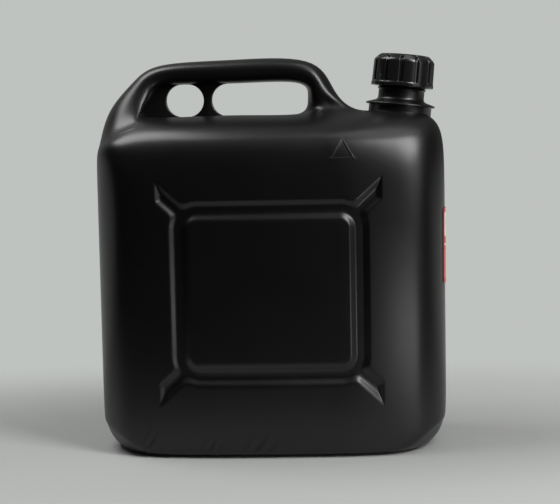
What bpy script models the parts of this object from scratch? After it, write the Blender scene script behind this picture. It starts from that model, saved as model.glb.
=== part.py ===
"""Jerry can, ten litres: a blow-moulded can with its screw cap, sealing washer and label.

Metres, +Z up, the front at -Y. The origin is on the ground under the middle of the can.
"""

import math

import bmesh
import bpy
from mathutils import Matrix, Vector

# Tank
WIDTH = 0.2985
DEPTH = 0.150
TANK_TOP = 0.286
WALL = 0.0022
SQUARENESS = 3.6  # exponent of the superellipse that the tank is in plan
TOP_ROUND = 0.045  # radius from the front face to the top
FOOT_FRONT = 0.015  # radius from the front face to the base
FOOT_SIDE = 0.026  # radius from the sides to the base
FOOT_SAG = 0.0012  # how far the moulded base bulges before it is cut flat
BASE_RAISE = 0.003  # the middle of the base stands clear of the ground
BASE_RIM = 0.030  # from the can's sides to the raised part of the base
BASE_CORNER = 0.012  # cut off that part's corners
PLAN_CORNER = 0.018  # from the can's sides to where its front turns into them
LEFT_DROP = 0.024  # on the left the side turns into the handle this far below the tank's top
RIGHT_DROP = 0.0064  # the right shoulder's round, from the tank's top
RIGHT_INSET = 0.0076  # and from the can's right side
SWELL = 0.0030  # how far the top rises between the handle and the neck

# Handle
HANDLE_RISE = 0.0485  # from the tank's top to the handle's
BAR_HEIGHT = 0.0203
BAR_WIDTH = 0.033
LEG_SWELL = 0.0085  # the handle's half width grows by this where its left leg leaves the tank
OPENING_INSET = 0.0453  # from the can's left side to the handle's opening
GRIP_END = 0.1158  # from the can's right side to the grip hole
RIGHT_LEG = 0.0225  # from the grip hole to the outer line of the right leg
RIGHT_FALL = 0.0268  # from the handle's top down to that place
VALLEY = 0.0728  # from the can's right side to the dip between handle and neck
SHOULDER_R = 0.0706  # the long round of the handle's left leg
SHOULDER_EDGE = 0.0008  # that round starts this far in from the side
SHOULDER_CURVE = 1.7  # exponent below 2 flattens that round a little
WEB = 0.0055  # pinched plate in the left of the opening
WEB_MARGIN = 0.014  # from the opening's left side to the small hole
SMALL_HOLE = 0.0327
HOLE_GAP = 0.0071  # between the small hole and the grip hole

# Moulded channel on the front and the back
PANEL_Z = 0.1394
RING_HALF_X = 0.0748
RING_HALF_Z = 0.0690
RING_CORNER = 0.016
CHANNEL_DEPTH = 0.0042
CHANNEL_FLOOR = 0.0055
CHANNEL_LIPS = 0.0165
SPUR_X = 0.0925  # of the spurs' ends
SPUR_RISE = 0.0845  # of the spur's end, from the panel's middle
SPUR_FLOOR = 0.0050
SPUR_END = 0.0062  # floor width where the spur is cut off upright
SPUR_STEP = 0.0004  # the spur's floor lies this much above the ring's

# Neck, along its own axis from the flange's middle
NECK_INSET = 0.0360  # from the can's right side to the flange's middle
NECK_RISE = 0.0069  # from the tank's top to the flange's middle
NECK_TILT = math.radians(6)
NECK_R = 0.01975
BORE_R = 0.01675
RIM = 0.0383
FLANGE_R = 0.02975
FLANGE_EDGE = 0.0015
FLANGE_SLOPE = math.radians(17.5)
RIM_CHAMFER = 0.0006
COLLAR_R = 0.027
COLLAR_HEIGHT = 0.005
COLLAR_FLARE = 0.0004
COLLAR_ROOT = 0.009  # how far the collar reaches into the shoulder
BEAD_AT = 0.0135
BEAD_R = 0.0011

# Thread of the neck and the cap
PITCH = 0.006
RIDGE_R = 0.0016
RIDGE_SEAT = 0.0002  # how far the ridge's middle line lies inside the wall that carries it
THREAD_START = 0.0205
THREAD_TURNS = 1.9
CAP_TURNS = 1.5

# Cap
CAP_BOTTOM = 0.0155
CAP_HEIGHT = 0.0275
CAP_TOP_R = 0.0260
CAP_FOOT_R = 0.0268
CAP_BORE_R = 0.0224
CAP_ROOF = 0.0025
CAP_RING = 0.0026
CAP_CHAMFER = 0.0050
CAP_CROWN = 0.0006  # the top's edge lies this much below its middle
CAP_DRAFT = 0.0004  # the grip is this much wider at its foot
LOBES = 12
LOBE_TURN = math.radians(7.3)  # a groove lies this far left of the front
GROOVE = 0.0016
GROOVE_SHAPE = ((0, 1), (0.09, 0.9), (0.16, 0.12), (0.33, 0), (0.5, 0), (0.67, 0), (0.84, 0.12), (0.91, 0.9))
SEAL = 0.0016
SEAL_R = 0.0200
SEAL_BORE_R = 0.0135

# Label on the right side
LABEL_LOW = 0.141
LABEL_HEIGHT = 0.064
LABEL_WIDTH = 0.072
LABEL_SHEET = 0.0003

GAP = 0.0003  # between pieces that touch on the real can
FIT_STEPS = 8

HALF_W = WIDTH / 2
HALF_D = DEPTH / 2
OPEN_LEFT = OPENING_INSET - HALF_W
OPEN_RIGHT = HALF_W - GRIP_END
HANDLE_TOP = TANK_TOP + HANDLE_RISE
CEILING = HANDLE_TOP - BAR_HEIGHT
END_R = (CEILING - TANK_TOP) / 2
HOLE_Z = TANK_TOP + END_R


def new_collection(name):
    collection = bpy.data.collections.new(name)
    bpy.context.scene.collection.children.link(collection)
    return collection


def material(name, colour, roughness):
    """A plain plastic or paper finish."""
    made = bpy.data.materials.new(name)
    made.use_nodes = True
    shader = made.node_tree.nodes["Principled BSDF"]
    shader.inputs["Base Color"].default_value = (*colour, 1)
    shader.inputs["Roughness"].default_value = roughness
    shader.inputs["Metallic"].default_value = 0
    return made


def object_from(bm, name, collection):
    mesh = bpy.data.meshes.new(name)
    bmesh.ops.recalc_face_normals(bm, faces=bm.faces)
    bm.to_mesh(mesh)
    bm.free()
    obj = bpy.data.objects.new(name, mesh)
    collection.objects.link(obj)
    return obj


def cutter(obj):
    obj.hide_render = True
    obj.display_type = "WIRE"
    return obj


def boolean(obj, operation, other):
    modifier = obj.modifiers.new(f"{operation.lower()} {other.name}", "BOOLEAN")
    modifier.operation = operation
    modifier.object = other


def patch(bm, rows):
    """Quads between rows of equally many points."""
    grid = [[bm.verts.new(point) for point in row] for row in rows]
    for low, high in zip(grid, grid[1:]):
        for i in range(len(low) - 1):
            bm.faces.new((low[i], low[i + 1], high[i + 1], high[i]))


def loft(name, sections, collection, closed=False):
    """A solid through closed sections of equally many points, capped unless it closes on itself."""
    bm = bmesh.new()
    rings = [[bm.verts.new(point) for point in section] for section in sections]
    pairs = list(zip(rings, rings[1:]))
    if closed:
        pairs.append((rings[-1], rings[0]))
    else:
        bm.faces.new(rings[0])
        bm.faces.new(rings[-1])
    for low, high in pairs:
        for i in range(len(low)):
            j = (i + 1) % len(low)
            bm.faces.new((low[i], low[j], high[j], high[i]))
    return object_from(bm, name, collection)


# The can's smooth outside: half a cage of quads, mirrored and subdivided


def plan_depth(x, inset=0.0):
    """Half the tank's depth at x, or of the same outline moved inwards."""
    share = min(abs(x) / (HALF_W - inset), 1)
    return (HALF_D - inset) * (1 - share**SQUARENESS) ** (1 / SQUARENESS)


def plan_width(y, inset=0.0):
    share = min(abs(y) / (HALF_D - inset), 1)
    return (HALF_W - inset) * (1 - share**SQUARENESS) ** (1 / SQUARENESS)


CORNER_X = HALF_W - PLAN_CORNER
SIDE_Y = -0.44 * HALF_D
COLUMNS = (
    -CORNER_X,
    OPEN_LEFT,
    (OPEN_LEFT + OPEN_RIGHT) / 2,
    OPEN_RIGHT + END_R * 0.25,
    OPEN_RIGHT + RIGHT_LEG * 0.955,
    HALF_W - VALLEY * 1.027,
    HALF_W - NECK_INSET * 1.14,
    CORNER_X,
)


def tank_row(z, inset=0.0):
    """The half outline at a height, from the left side round the front to the right side."""
    shrink = (HALF_W - inset) / HALF_W
    side_x = plan_width(SIDE_Y, inset)
    row = [Vector((-HALF_W + inset, 0, z)), Vector((-side_x, SIDE_Y, z))]
    row += [Vector((x * shrink, -plan_depth(x * shrink, inset), z)) for x in COLUMNS]
    return row + [Vector((side_x, SIDE_Y, z)), Vector((HALF_W - inset, 0, z))]


def foot_row(degrees):
    """The outline where the foot's round has turned under by an angle. It is wider at the sides."""
    angle = math.radians(degrees)
    rise, inwards = 1 - math.sin(angle), 1 - math.cos(angle)
    rows = [tank_row(r * rise, r * inwards) for r in (FOOT_SIDE, (FOOT_SIDE + FOOT_FRONT) / 2, FOOT_FRONT)]
    side, corner, front = rows
    return side[:2] + corner[2:3] + front[3:-3] + corner[-3:-2] + side[-2:]


def shoulder_row():
    """Where the front turns into the top: the left end climbs into the handle, the right end is a corner."""
    turn = TOP_ROUND * (1 - math.sqrt(0.5))
    row = tank_row(TANK_TOP - turn, turn)
    row[0] = Vector((-HALF_W + SHOULDER_EDGE, 0, TANK_TOP - LEFT_DROP))
    row[1] = Vector((-HALF_W + LEFT_DROP * 0.23, SIDE_Y * 0.94, TANK_TOP - LEFT_DROP * 0.96))
    row[2] = Vector((-CORNER_X * 0.985, -HALF_D * 0.68, TANK_TOP - LEFT_DROP * 0.79))
    row[-3] = Vector((CORNER_X * 0.985, -HALF_D * 0.68, TANK_TOP - TOP_ROUND / 3))
    row[-2] = Vector((HALF_W - RIGHT_INSET * 1.33, SIDE_Y * 0.8, TANK_TOP - RIGHT_DROP * 1.31))
    row[-1] = Vector((HALF_W - RIGHT_INSET, 0, TANK_TOP - RIGHT_DROP))
    return row


def top_row():
    """Along the tank's top, beside the handle."""
    y = -BAR_WIDTH * 0.7
    shares = (0, 0, 0.27, 1, 0.73, 0.83)
    return [Vector((x, y, TANK_TOP + SWELL * share)) for x, share in zip(COLUMNS[1:-1], shares)]


def shoulder_arc(degrees):
    """Point of the handle's outer line, as (x, z)."""
    c, s = math.cos(math.radians(degrees)), math.sin(math.radians(degrees))
    r = SHOULDER_R * (abs(c) ** SHOULDER_CURVE + abs(s) ** SHOULDER_CURVE) ** (-1 / SHOULDER_CURVE)
    return -HALF_W + SHOULDER_EDGE + SHOULDER_R + r * c, HANDLE_TOP - SHOULDER_R + r * s


def hole_end(degrees):
    """Point of the grip hole's right end, as (x, z)."""
    angle = math.radians(degrees)
    return OPEN_RIGHT - END_R + END_R * math.cos(angle), HOLE_Z + END_R * math.sin(angle)


def handle_section(outer, inner, half_width):
    """Half the handle's tube: outer line, three points on the front, inner line."""
    centre = (Vector(outer) + Vector(inner)) / 2
    half = (Vector(outer) - Vector(inner)) / 2
    points = []
    for degrees in (90, 42, 0, -42, -90):
        angle = math.radians(degrees)
        across = centre + half * math.sin(angle)
        points.append(Vector((across.x, -half_width * math.cos(angle) ** 0.8, across.y)))
    return points


def handle_sections():
    half = BAR_WIDTH / 2
    middle = (OPEN_LEFT + OPEN_RIGHT) / 2
    return [
        handle_section(shoulder_arc(157), (OPEN_LEFT, TANK_TOP), half + LEG_SWELL),
        handle_section(shoulder_arc(129), (OPEN_LEFT + END_R * 0.07, HOLE_Z), half + LEG_SWELL * 0.3),
        handle_section(shoulder_arc(104), (OPEN_LEFT + END_R, CEILING - END_R * 0.1), half),
        handle_section((middle, HANDLE_TOP), (middle, CEILING), half),
        handle_section((OPEN_RIGHT - END_R * 0.1, HANDLE_TOP - RIGHT_FALL * 0.09), hole_end(62), half),
        handle_section((OPEN_RIGHT + RIGHT_LEG, HANDLE_TOP - RIGHT_FALL), hole_end(2), half + LEG_SWELL / 6),
    ]


def base_patch(edge_row, low):
    """Rows of the base from its front edge to the mid-plane."""
    inner = [Vector((p.x, SIDE_Y, low)) for p in edge_row[3:-3]]
    middle = [Vector((p.x, 0, low)) for p in edge_row[3:-3]]
    return [
        edge_row[2:-2],
        [edge_row[1], *inner, edge_row[-2]],
        [edge_row[0], *middle, edge_row[-1]],
    ]


def cage(low):
    """Half the can in front of its mid-plane, with the base at height low."""
    bm = bmesh.new()
    edge, heel = foot_row(60), foot_row(20)
    shoulder = shoulder_row()
    levels = (FOOT_SIDE * 1.5, PANEL_Z, TANK_TOP - TOP_ROUND * 1.11)
    patch(bm, [edge, heel, *(tank_row(z) for z in levels), shoulder])
    patch(bm, base_patch(edge, low))
    top = top_row()
    sections = handle_sections()
    patch(bm, [shoulder[:3], sections[0][:3]])
    patch(bm, [shoulder[2:4], [sections[0][2], sections[0][3]]])
    top[0] = sections[0][3]
    patch(bm, [shoulder[3:-3] + [shoulder[-3]], top + [shoulder[-2]]])
    floor = [sections[0][4], Vector((top[1].x, 0, TANK_TOP)), Vector((*hole_end(-62), 0)).xzy]
    patch(bm, [top[:3], floor])
    valley = [Vector((x, 0, TANK_TOP + SWELL)) for x in (HALF_W - VALLEY, COLUMNS[-2])]
    patch(bm, [[*top[4:], shoulder[-2]], [*valley, shoulder[-1]]])
    leg = [valley[0], top[4], top[3], top[2], floor[2]]
    patch(bm, sections + [leg])
    bmesh.ops.remove_doubles(bm, verts=bm.verts, dist=1e-6)
    return bm


def mirror_cage(bm):
    """The back half, welded on at the mid-plane."""
    copied = bmesh.ops.duplicate(bm, geom=bm.verts[:] + bm.edges[:] + bm.faces[:])["geom"]
    verts = [item for item in copied if isinstance(item, bmesh.types.BMVert)]
    faces = [item for item in copied if isinstance(item, bmesh.types.BMFace)]
    bmesh.ops.scale(bm, vec=(1, -1, 1), verts=verts)
    bmesh.ops.reverse_faces(bm, faces=faces)
    bmesh.ops.remove_doubles(bm, verts=bm.verts, dist=1e-6)
    bmesh.ops.recalc_face_normals(bm, faces=bm.faces)


def limit_point(vert):
    """Where the endlessly subdivided surface passes near a cage point."""
    n = len(vert.link_faces)
    beside = sum((edge.other_vert(vert).co for edge in vert.link_edges), Vector())
    across = Vector()
    for face in vert.link_faces:
        near = {vert, *(edge.other_vert(vert) for edge in vert.link_edges)}
        across += next(v.co for v in face.verts if v not in near)
    return (n * n * vert.co + 4 * beside + across) / (n * (n + 5))


def fit_cage(bm):
    """Moves the cage outwards until its smooth surface passes through the points that it was given."""
    wanted = {vert: vert.co.copy() for vert in bm.verts}
    for _ in range(FIT_STEPS):
        misses = {vert: wanted[vert] - limit_point(vert) for vert in bm.verts}
        for vert, miss in misses.items():
            vert.co += miss


def smooth_can(name, collection, levels, inset=0.0, low=-FOOT_SAG):
    """The can's outside, or the same shape a wall further in."""
    bm = cage(low)
    mirror_cage(bm)
    if inset:
        bm.normal_update()
        for vert in bm.verts:
            vert.co -= vert.normal * inset
        for vert in bm.verts:
            vert.co.z = max(vert.co.z, low)
    fit_cage(bm)
    obj = object_from(bm, name, collection)
    subdivide = obj.modifiers.new("smooth", "SUBSURF")
    subdivide.levels = levels
    subdivide.render_levels = levels
    return obj


# Channels


def channel_profile(floor, plain):
    """(distance from the middle line, depth) on one side, from the floor up past the lip."""
    half = floor / 2
    run = (CHANNEL_LIPS - CHANNEL_FLOOR) / 2
    lip = (half + 0.70 * run, 0.22 * CHANNEL_DEPTH)
    outside = (half + 1.30 * run, -0.24 * CHANNEL_DEPTH)
    return [(half, CHANNEL_DEPTH), outside] if plain else [(half, CHANNEL_DEPTH), lip, outside]


def channel_section(x, z, across, floor, sink, side):
    """A channel's section across a point of the face, sunk below its usual depth or raised."""
    steps = channel_profile(floor, sink < 0)
    outline = [(-s, h) for s, h in reversed(steps)] + steps
    points = []
    for s, h in outline:
        px, pz = x + across[0] * s, z + across[1] * s
        points.append(Vector((px, -side * (plan_depth(px) - h + sink), pz)))
    return points


def ring_path(turns, stops):
    """(x, z, outward direction) round the channel's middle line, with the corners in so many turns."""
    x, z = RING_HALF_X - RING_CORNER, RING_HALF_Z - RING_CORNER
    centres = [Vector((sx * x, PANEL_Z + sz * z)) for sx, sz in ((1, 1), (-1, 1), (-1, -1), (1, -1))]
    path = []
    for quarter, centre in enumerate(centres):
        for step in range(turns + 1):
            angle = math.pi / 2 * (quarter + step / turns)
            out = Vector((math.cos(angle), math.sin(angle)))
            path.append((*(centre + out * RING_CORNER), out))
        following = centres[(quarter + 1) % 4]
        for stop in range(1, stops + 1):
            path.append((*(centre.lerp(following, stop / (stops + 1)) + out * RING_CORNER), out))
    return path


def ring_cutter(name, side, grow, collection):
    path = ring_path(2, 1) if grow else ring_path(4, 3)
    sections = [channel_section(x, z, out, CHANNEL_FLOOR + grow, -grow, side) for x, z, out in path]
    return cutter(loft(name, sections, collection, closed=True))


def spur_cutter(name, side, sx, sz, grow, collection):
    """A spur from the ring's corner to its upright end."""
    inwards = RING_CORNER * (1 - math.sqrt(0.5))
    start = Vector((RING_HALF_X - inwards, RING_HALF_Z - inwards))
    end = Vector((SPUR_X, SPUR_RISE))
    along = (end - start).normalized()
    across = Vector((-along.y, along.x))
    stations = ((0.0, across, CHANNEL_FLOOR, SPUR_STEP), (0.55, across, SPUR_FLOOR, SPUR_STEP))
    stations += ((1.0, Vector((0, 1)), SPUR_END, SPUR_STEP),)
    sections = []
    for share, lateral, floor, sink in stations:
        place = start.lerp(end, share)
        direction = (lateral.x * sx, lateral.y * sz)
        sections.append(
            channel_section(place.x * sx, PANEL_Z + place.y * sz, direction, floor + grow, sink - grow, side)
        )
    return cutter(loft(name, sections, collection))


def channel_cutters(prefix, grow, collection):
    made = []
    for side, face in ((1, "front"), (-1, "back")):
        made.append(ring_cutter(f"{prefix}_ring_{face}", side, grow, collection))
        for sx in (-1, 1):
            for sz in (-1, 1):
                name = f"{prefix}_spur_{face}_{'left' if sx < 0 else 'right'}_{'low' if sz < 0 else 'high'}"
                made.append(spur_cutter(name, side, sx, sz, grow, collection))
    return made


# Handle's web, neck and base


def stadium(name, left, right, collection):
    """A hole through the handle, round at both ends."""
    bm = bmesh.new()
    outline = []
    for x, first in ((right - END_R, -90), (left + END_R, 90)):
        for step in range(13):
            angle = math.radians(first + 15 * step)
            outline.append((x + END_R * math.cos(angle), HOLE_Z + END_R * math.sin(angle)))
    reach = BAR_WIDTH
    face = bm.faces.new([bm.verts.new((x, -reach, z)) for x, z in outline])
    pushed = bmesh.ops.extrude_face_region(bm, geom=[face])["geom"]
    moved = [item for item in pushed if isinstance(item, bmesh.types.BMVert)]
    bmesh.ops.translate(bm, vec=(0, 2 * reach, 0), verts=moved)
    return cutter(object_from(bm, name, collection))


def handle_web(collection):
    """The plate that the mould pinches flat in the left of the opening."""
    left = OPEN_LEFT - WEB
    hole = OPEN_LEFT + WEB_MARGIN
    grip = hole + SMALL_HOLE + HOLE_GAP
    right = grip + END_R
    bm = bmesh.new()
    bmesh.ops.create_cube(bm, size=1)
    height = CEILING - TANK_TOP + WEB * 0.55
    bmesh.ops.scale(bm, vec=(right - left, WEB, height), verts=bm.verts)
    bmesh.ops.translate(bm, vec=((left + right) / 2, 0, HOLE_Z), verts=bm.verts)
    web = cutter(object_from(bm, "handle_web", collection))
    boolean(web, "DIFFERENCE", stadium("small_hole", hole, hole + SMALL_HOLE, collection))
    boolean(web, "DIFFERENCE", stadium("grip_hole", grip, OPEN_RIGHT + END_R, collection))
    return web


def turned(name, profile, steps, collection):
    """A turned solid from (radius, height) points, top to bottom on its outside, ending on the axis."""
    mesh = bpy.data.meshes.new(name)
    edges = [(i, i + 1) for i in range(len(profile) - 1)]
    mesh.from_pydata([(r, 0, z) for r, z in profile], edges, [])
    obj = bpy.data.objects.new(name, mesh)
    collection.objects.link(obj)
    turn = obj.modifiers.new("turn", "SCREW")
    turn.steps = steps
    turn.render_steps = steps
    turn.use_merge_vertices = True
    turn.merge_threshold = 1e-5
    return obj


def neck_frame():
    """Place and tilt of the neck: its own +Z runs out of the can."""
    middle = Vector((HALF_W - NECK_INSET, 0, TANK_TOP + NECK_RISE))
    return Matrix.Translation(middle) @ Matrix.Rotation(NECK_TILT, 4, "Y")


def neck_blank(collection):
    cone_top = FLANGE_EDGE / 2 + (FLANGE_R - NECK_R) * math.tan(FLANGE_SLOPE)
    bead = [
        (NECK_R + BEAD_R * math.cos(math.radians(a)), BEAD_AT + BEAD_R * math.sin(math.radians(a)))
        for a in (90, 30, -30, -90)
    ]
    profile = [
        (0, RIM),
        (NECK_R - RIM_CHAMFER, RIM),
        (NECK_R, RIM - RIM_CHAMFER),
        *bead,
        (NECK_R, cone_top),
        (FLANGE_R, FLANGE_EDGE / 2),
        (FLANGE_R, -FLANGE_EDGE / 2),
        (COLLAR_R, -FLANGE_EDGE / 2),
        (COLLAR_R, -COLLAR_HEIGHT),
        (COLLAR_R + COLLAR_FLARE, -COLLAR_ROOT),
        (COLLAR_R - WALL, -COLLAR_ROOT * 1.1),
        (0, -COLLAR_ROOT * 1.1),
    ]
    return cutter(turned("neck_blank", profile, 32, collection))


def neck_bore(collection):
    inside = COLLAR_R - WALL
    profile = [
        (0, RIM * 1.1),
        (BORE_R, RIM * 1.1),
        (BORE_R, -FLANGE_EDGE * 0.7),
        (inside, -COLLAR_HEIGHT),
        (inside, -COLLAR_ROOT * 1.3),
        (0, -COLLAR_ROOT * 1.3),
    ]
    return cutter(turned("neck_bore", profile, 32, collection))


def thread(name, radius, start, turns, collection):
    """One helical ridge. Its ends sink into the wall that carries it."""
    per_turn = 16
    count = round(turns * per_turn)
    curve = bpy.data.curves.new(name, "CURVE")
    curve.dimensions = "3D"
    curve.bevel_depth = RIDGE_R
    curve.bevel_resolution = 1
    curve.use_fill_caps = True
    spline = curve.splines.new("POLY")
    spline.points.add(count)
    for i, point in enumerate(spline.points):
        angle = 2 * math.pi * i / per_turn
        height = start + PITCH * i / per_turn
        point.co = (radius * math.cos(angle), radius * math.sin(angle), height, 1)
        point.radius = 0.35 if i in (0, count) else 1
    guide = bpy.data.objects.new(name, curve)
    collection.objects.link(guide)
    return mesh_of(guide, collection)


def mesh_of(guide, collection):
    """The curve as a closed mesh object under the same name."""
    bpy.context.view_layer.update()
    evaluated = guide.evaluated_get(bpy.context.evaluated_depsgraph_get())
    mesh = bpy.data.meshes.new_from_object(evaluated)
    bm = bmesh.new()
    bm.from_mesh(mesh)
    bmesh.ops.remove_doubles(bm, verts=bm.verts, dist=1e-6)
    bmesh.ops.recalc_face_normals(bm, faces=bm.faces)
    bm.to_mesh(mesh)
    bm.free()
    name = guide.name
    bpy.data.objects.remove(guide)
    obj = bpy.data.objects.new(name, mesh)
    collection.objects.link(obj)
    return cutter(obj)


def block(name, size, middle, collection):
    bm = bmesh.new()
    bmesh.ops.create_cube(bm, size=1)
    bmesh.ops.scale(bm, vec=size, verts=bm.verts)
    bmesh.ops.translate(bm, vec=middle, verts=bm.verts)
    return cutter(object_from(bm, name, collection))


def base_hollow(collection):
    """The raised middle of the base, with drafted sides."""
    sections = []
    for z in (-BASE_RAISE / 3, BASE_RAISE):
        x, y, cut = HALF_W - BASE_RIM - z, HALF_D - BASE_RIM - z, BASE_CORNER
        outline = ((x - cut, y), (x, y - cut), (x, -y + cut), (x - cut, -y))
        outline += ((-x + cut, -y), (-x, -y + cut), (-x, y - cut), (-x + cut, y))
        sections.append([Vector((px, py, z)) for px, py in outline])
    return cutter(loft("base_hollow", sections, collection))


def can_body(parts, cutters, plastic):
    body = smooth_can("can_body", parts, 2)
    body.data.materials.append(plastic)
    for channel in channel_cutters("channel", 0, cutters):
        boolean(body, "DIFFERENCE", channel)
    boolean(body, "DIFFERENCE", block("ground", (WIDTH, DEPTH, BASE_RIM), (0, 0, -BASE_RIM / 2), cutters))
    boolean(body, "DIFFERENCE", base_hollow(cutters))
    boolean(body, "UNION", handle_web(cutters))
    neck = neck_blank(cutters)
    ridge = thread("neck_thread", NECK_R - RIDGE_SEAT, THREAD_START, THREAD_TURNS, cutters)
    boolean(neck, "UNION", ridge)
    for piece in (neck, ridge):
        piece.matrix_world = neck_frame()
    boolean(body, "UNION", neck)
    cavity = cutter(smooth_can("cavity", cutters, 1, WALL, BASE_RAISE + WALL))
    for swell in channel_cutters("swell", WALL, cutters):
        boolean(cavity, "DIFFERENCE", swell)
    boolean(body, "DIFFERENCE", cavity)
    bore = neck_bore(cutters)
    bore.matrix_world = neck_frame()
    boolean(body, "DIFFERENCE", bore)
    return body


def lobed_ring(radius, height, depth):
    """A ring of the cap's grip: broad lobes with a narrow groove between them."""
    points = []
    for lobe in range(LOBES):
        for share, cut in GROOVE_SHAPE:
            angle = 2 * math.pi * (lobe + share) / LOBES - math.pi / 2 - LOBE_TURN
            r = radius - depth * cut
            points.append(Vector((r * math.cos(angle), r * math.sin(angle), height)))
    return points


def screw_cap(parts, cutters, plastic):
    top = CAP_HEIGHT
    sections = [
        lobed_ring(CAP_FOOT_R, 0, 0),
        lobed_ring(CAP_FOOT_R, CAP_RING, 0),
        lobed_ring(CAP_TOP_R + CAP_DRAFT, CAP_RING + CAP_DRAFT, GROOVE),
        lobed_ring(CAP_TOP_R, top - CAP_CHAMFER, GROOVE),
        lobed_ring(CAP_TOP_R - CAP_CHAMFER, top - CAP_CROWN, GROOVE * 0.7),
        lobed_ring(CAP_TOP_R - CAP_CHAMFER * 1.8, top, 0),
    ]
    cap = loft("screw_cap", sections, parts)
    cap.data.materials.append(plastic)
    roof = top - CAP_ROOF
    profile = [(0, roof), (CAP_BORE_R, roof), (CAP_BORE_R, -CAP_RING), (0, -CAP_RING)]
    bore = cutter(turned("cap_bore", profile, 32, cutters))
    boolean(cap, "DIFFERENCE", bore)
    start = THREAD_START - CAP_BOTTOM - PITCH / 2
    ridge = thread("cap_thread", CAP_BORE_R + RIDGE_SEAT, start, CAP_TURNS, cutters)
    boolean(cap, "UNION", ridge)
    for piece in (cap, bore, ridge):
        piece.matrix_world = neck_frame() @ Matrix.Translation((0, 0, CAP_BOTTOM))
    return cap


def cap_seal(parts, cutters, rubber):
    profile = [(0, SEAL), (SEAL_R, SEAL), (SEAL_R, 0), (0, 0)]
    seal = turned("cap_seal", profile, 32, parts)
    seal.data.materials.append(rubber)
    profile = [(0, SEAL * 2), (SEAL_BORE_R, SEAL * 2), (SEAL_BORE_R, -SEAL), (0, -SEAL)]
    hole = cutter(turned("seal_hole", profile, 32, cutters))
    boolean(seal, "DIFFERENCE", hole)
    for piece in (seal, hole):
        piece.matrix_world = neck_frame() @ Matrix.Translation((0, 0, RIM + GAP))
    return seal


def side_label(body, parts, paper):
    """A thin sheet laid on the right side of the tank."""
    bm = bmesh.new()
    bmesh.ops.create_grid(bm, x_segments=24, y_segments=1, size=0.5)
    bmesh.ops.scale(bm, vec=(LABEL_WIDTH, LABEL_HEIGHT, 1), verts=bm.verts)
    upright = Matrix(((0, 0, 1), (1, 0, 0), (0, 1, 0))).to_4x4()
    place = Matrix.Translation((WIDTH, 0, LABEL_LOW + LABEL_HEIGHT / 2))
    bmesh.ops.transform(bm, matrix=place @ upright, verts=bm.verts)
    label = object_from(bm, "side_label", parts)
    label.data.materials.append(paper)
    lay = label.modifiers.new("lay on the can", "SHRINKWRAP")
    lay.target = body
    lay.wrap_method = "PROJECT"
    lay.use_project_x = True
    lay.use_negative_direction = True
    lay.use_positive_direction = False
    lay.offset = GAP * 1.5
    sheet = label.modifiers.new("sheet", "SOLIDIFY")
    sheet.thickness = LABEL_SHEET
    sheet.offset = 1
    return label


def main():
    for obj in list(bpy.data.objects):
        bpy.data.objects.remove(obj)
    parts = new_collection("jerry_can")
    cutters = new_collection("cutters")
    black = material("black plastic", (0.012, 0.012, 0.011), 0.42)
    gloss = material("cap plastic", (0.008, 0.008, 0.008), 0.25)
    rubber = material("seal rubber", (0.05, 0.05, 0.05), 0.7)
    paper = material("label", (0.55, 0.03, 0.02), 0.4)
    body = can_body(parts, cutters, black)
    screw_cap(parts, cutters, gloss)
    cap_seal(parts, cutters, rubber)
    side_label(body, parts, paper)


main()
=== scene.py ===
"""Looks of a ten litre jerry can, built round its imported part.

Metres, +Z up, the front at -Y. The can, its cap, seal and label are rebuilt more finely where the
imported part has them.
"""

import math

import bmesh
import bpy
import numpy as np
from mathutils import Matrix, Vector

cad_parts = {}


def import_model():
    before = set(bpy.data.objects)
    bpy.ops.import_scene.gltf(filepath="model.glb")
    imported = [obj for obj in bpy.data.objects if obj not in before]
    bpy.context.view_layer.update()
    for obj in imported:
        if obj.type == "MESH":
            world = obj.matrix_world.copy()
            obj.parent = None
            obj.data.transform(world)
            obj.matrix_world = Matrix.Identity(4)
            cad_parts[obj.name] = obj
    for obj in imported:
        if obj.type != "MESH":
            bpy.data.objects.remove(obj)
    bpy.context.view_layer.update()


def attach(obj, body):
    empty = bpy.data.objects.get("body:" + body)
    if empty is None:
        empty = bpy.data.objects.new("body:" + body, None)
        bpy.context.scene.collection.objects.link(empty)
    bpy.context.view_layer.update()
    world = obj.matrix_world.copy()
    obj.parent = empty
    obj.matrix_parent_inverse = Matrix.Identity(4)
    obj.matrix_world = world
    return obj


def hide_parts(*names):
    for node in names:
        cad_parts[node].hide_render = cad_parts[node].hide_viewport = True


# Tank
WIDTH = 0.2985
DEPTH = 0.150
TANK_TOP = 0.286
WALL = 0.0022
SQUARENESS = 3.6  # exponent of the superellipse that the tank is in plan
TOP_ROUND = 0.045  # radius from the front face to the top
FOOT_FRONT = 0.015  # radius from the front face to the base
FOOT_SIDE = 0.022  # how far the sides turn under
FOOT_TALL = 0.038  # the sides begin to turn under this far above the base
FOOT_SAG = 0.0012  # how far the moulded base bulges before it is cut flat
BASE_RAISE = 0.003  # the middle of the base stands clear of the ground
BASE_RIM = 0.030  # from the can's sides to the raised part of the base
BASE_CORNER = 0.012  # cut off that part's corners
PLAN_CORNER = 0.018  # from the can's sides to where its front turns into them
LEFT_DROP = 0.024  # on the left the side turns into the handle this far below the tank's top
RIGHT_DROP = 0.0064  # the right shoulder's round, from the tank's top
RIGHT_INSET = 0.0076  # and from the can's right side
SWELL = 0.0030  # how far the top rises between the handle and the neck

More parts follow.
